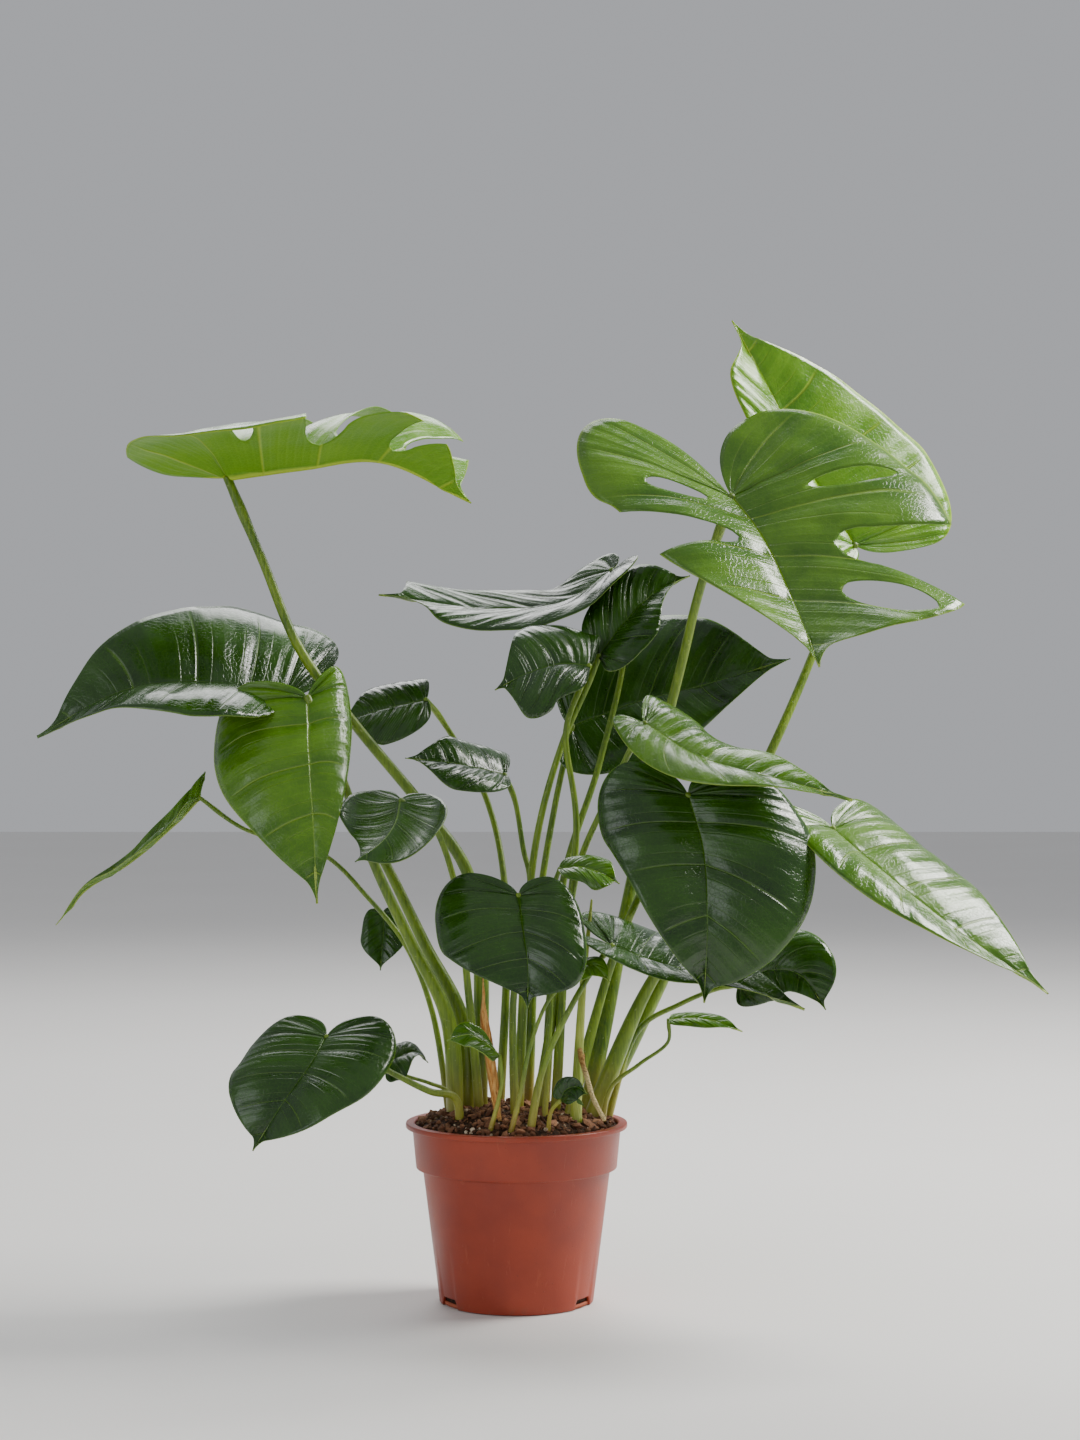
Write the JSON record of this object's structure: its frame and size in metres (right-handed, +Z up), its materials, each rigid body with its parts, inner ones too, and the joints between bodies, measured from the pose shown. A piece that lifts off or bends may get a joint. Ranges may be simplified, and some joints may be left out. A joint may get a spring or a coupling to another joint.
{
  "type": "potted monstera plant",
  "caption": "Young monstera with heart-shaped and split leaves on long curved stalks, growing from soil in a round plastic nursery pot.",
  "frame": {"origin": "centre of the pot's underside", "axes": "+Z up from the pot's underside to the leaves, -Y is the front, +X to the right seen from the front"},
  "size_m": [0.7514, 0.3225, 0.7671],
  "materials": {
    "pot_plastic": "satin terracotta-red moulded plastic",
    "potting_soil": "damp crumbly dark brown potting mix",
    "deep_green_blade": "waxy deep green leaf",
    "mid_green_blade": "glossy mid green leaf",
    "bright_green_blade": "satin bright yellow-green leaf",
    "stalk_green": "smooth yellow-green stalk",
    "root_brown": "matte brown root",
    "sheath_tan": "dry papery tan sheath"
  },
  "bodies": {
    "root": {"pot": "pot_plastic", "soil": "potting_soil", "split_leaf_right": "mid_green_blade", "split_leaf_right_stalk": "stalk_green", "upper_back_leaf": "bright_green_blade", "upper_back_leaf_stalk": "stalk_green", "centre_back_leaf": "deep_green_blade", "centre_back_leaf_stalk": "stalk_green", "centre_upright_leaf": "deep_green_blade", "centre_upright_leaf_stalk": "stalk_green", "centre_round_leaf": "deep_green_blade", "centre_round_leaf_stalk": "stalk_green", "long_back_leaf": "deep_green_blade", "long_back_leaf_stalk": "stalk_green", "right_shelf_leaf": "mid_green_blade", "right_shelf_leaf_stalk": "stalk_green", "right_heart_leaf": "deep_green_blade", "right_heart_leaf_stalk": "stalk_green", "far_right_leaf": "mid_green_blade", "far_right_leaf_stalk": "stalk_green", "split_leaf_left": "bright_green_blade", "split_leaf_left_stalk": "stalk_green", "left_long_leaf": "deep_green_blade", "left_long_leaf_stalk": "stalk_green", "left_hanging_leaf": "mid_green_blade", "left_hanging_leaf_stalk": "stalk_green", "twisted_leaf": "mid_green_blade", "twisted_leaf_stalk": "stalk_green", "left_inner_leaf": "deep_green_blade", "left_inner_leaf_stalk": "stalk_green", "left_back_leaf": "deep_green_blade", "left_back_leaf_stalk": "stalk_green", "left_rear_leaf": "deep_green_blade", "left_rear_leaf_stalk": "stalk_green", "front_heart_leaf": "deep_green_blade", "front_heart_leaf_stalk": "stalk_green", "low_left_leaf": "deep_green_blade", "low_left_leaf_stalk": "stalk_green", "low_left_small_leaf": "deep_green_blade", "low_left_small_leaf_stalk": "stalk_green", "low_right_leaf": "deep_green_blade", "low_right_leaf_stalk": "stalk_green", "low_right_back_leaf": "deep_green_blade", "low_right_back_leaf_stalk": "stalk_green", "young_centre_leaf": "mid_green_blade", "young_centre_leaf_stalk": "stalk_green", "dark_round_leaf": "deep_green_blade", "dark_round_leaf_stalk": "stalk_green", "curled_leaf": "mid_green_blade", "curled_leaf_stalk": "stalk_green", "crown_leaf_left": "mid_green_blade", "crown_leaf_left_stalk": "stalk_green", "crown_leaf_right": "deep_green_blade", "crown_leaf_right_stalk": "stalk_green", "thin_right_leaf": "mid_green_blade", "thin_right_leaf_stalk": "stalk_green", "new_leaf_spear": "stalk_green", "aerial_root": "root_brown", "dried_sheath": "sheath_tan"}
  },
  "joints": []
}
